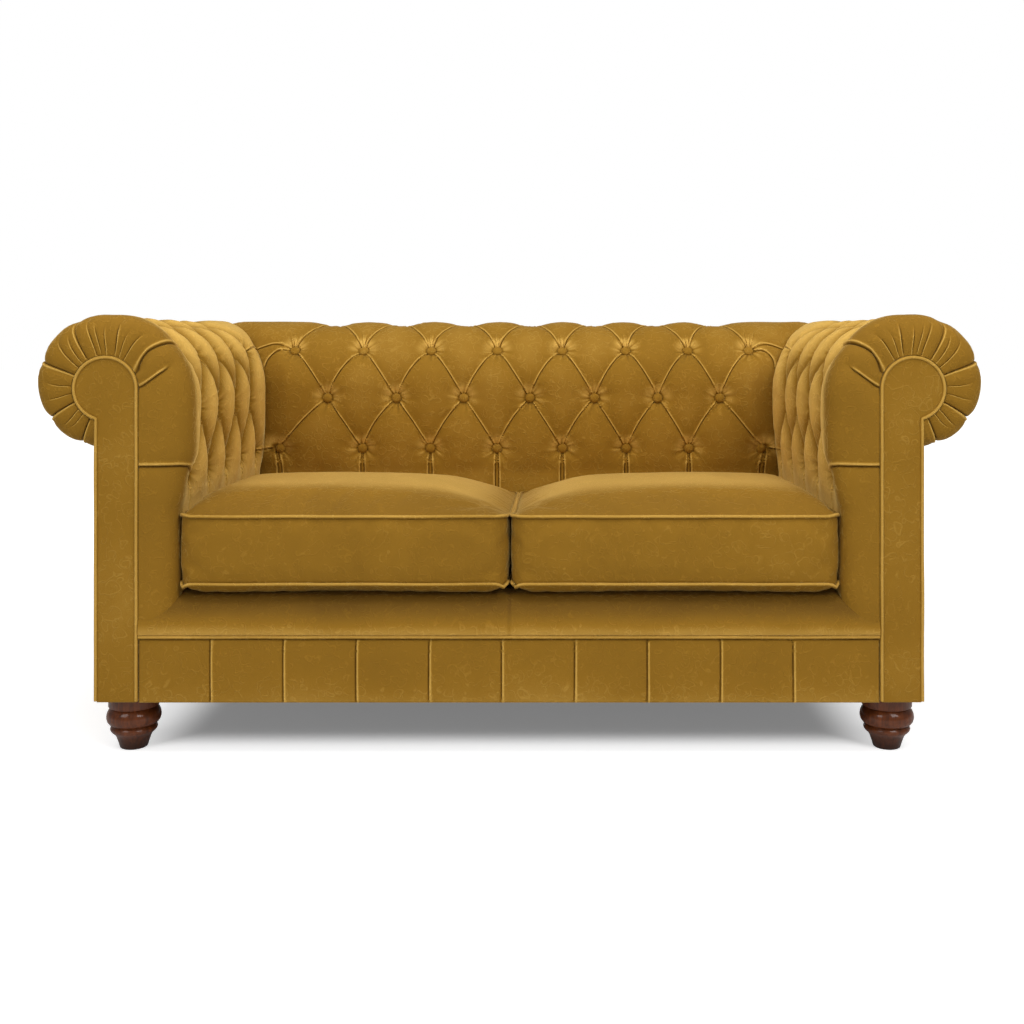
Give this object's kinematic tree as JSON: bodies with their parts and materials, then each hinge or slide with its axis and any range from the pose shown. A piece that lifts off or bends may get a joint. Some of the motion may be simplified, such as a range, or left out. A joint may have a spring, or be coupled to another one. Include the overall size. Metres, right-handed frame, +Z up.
{
  "type": "sofa",
  "caption": "Rolled-arm sofa with deep-buttoned back and arms, loose box cushions, a pleated front border and turned wooden feet.",
  "frame": {"origin": "on the floor, under the middle of the sofa's overall box", "axes": "+X towards the sitter's left when seated, which is the right of someone facing the sofa; +Y from the front to the back; +Z up. Left and right in the names are as seen from the front"},
  "size_m": [1.7, 0.9398, 0.8],
  "materials": {
    "velvet": "short pile velvet, mustard",
    "platform_cloth": "plain woven platform cloth, dark mustard",
    "hessian": "coarse woven, natural",
    "dust_cloth": "thin non-woven, black",
    "leg_wood": "dark red-brown stain, glossy lacquer",
    "frame_wood": "planed beech, unfinished",
    "spring_steel": "oiled spring wire",
    "zinc_steel": "zinc plated",
    "zip_brass": "antique brass"
  },
  "bodies": {
    "sofa_body": {"back_pad": "velvet", "back_tufting": "velvet", "arm_pad_left": "velvet", "arm_pad_right": "velvet", "arm_tufting_left": "velvet", "arm_tufting_right": "velvet", "arm_facing_left": "velvet", "arm_facing_right": "velvet", "outside_arm_left": "velvet", "outside_arm_right": "velvet", "outside_back": "velvet", "seat_nose": "velvet", "seat_deck": "platform_cloth", "front_border": "velvet", "front_border_piping": "velvet", "front_seat_rail": "frame_wood", "back_seat_rail": "frame_wood", "side_seat_rail_left": "frame_wood", "side_seat_rail_right": "frame_wood", "centre_seat_brace": "frame_wood", "arm_front_board_left": "frame_wood", "arm_front_board_right": "frame_wood", "arm_tack_rail_left": "frame_wood", "arm_tack_rail_right": "frame_wood", "arm_top_rail_left": "frame_wood", "arm_top_rail_right": "frame_wood", "arm_hessian_left": "hessian", "arm_hessian_right": "hessian", "back_upright_left": "frame_wood", "back_upright_middle": "frame_wood", "back_upright_right": "frame_wood", "back_tack_rail": "frame_wood", "back_top_rail": "frame_wood", "back_hessian": "hessian", "front_leg_left": "leg_wood", "front_leg_right": "leg_wood", "rear_leg_left": "leg_wood", "rear_leg_right": "leg_wood", "front_leg_bolt_left": "zinc_steel", "front_leg_bolt_right": "zinc_steel", "rear_leg_bolt_left": "zinc_steel", "rear_leg_bolt_right": "zinc_steel", "front_corner_block_left": "frame_wood", "front_corner_block_right": "frame_wood", "rear_corner_block_left": "frame_wood", "rear_corner_block_right": "frame_wood", "dust_cover": "dust_cloth", "seat_spring_1": "spring_steel", "seat_spring_2": "spring_steel", "seat_spring_3": "spring_steel", "seat_spring_4": "spring_steel", "seat_spring_5": "spring_steel", "seat_spring_6": "spring_steel"},
    "left_cushion": {"seat_cushion_left": "velvet", "cushion_zip_left": "zip_brass"},
    "right_cushion": {"seat_cushion_right": "velvet", "cushion_zip_right": "zip_brass"},
    "left_zip_slider": {"zip_slider_left": "zip_brass"},
    "right_zip_slider": {"zip_slider_right": "zip_brass"}
  },
  "joints": [
    {"name": "left_cushion_slide", "type": "slide", "parent": "sofa_body", "child": "left_cushion", "axis": [0, -1, 0], "range_m": [0, 0.64]},
    {"name": "right_cushion_slide", "type": "slide", "parent": "sofa_body", "child": "right_cushion", "axis": [0, -1, 0], "range_m": [0, 0.64]},
    {"name": "left_zip_slide", "type": "slide", "parent": "left_cushion", "child": "left_zip_slider", "axis": [1, 0, 0], "range_m": [0, 0.4]},
    {"name": "right_zip_slide", "type": "slide", "parent": "right_cushion", "child": "right_zip_slider", "axis": [-1, 0, 0], "range_m": [0, 0.4]}
  ]
}
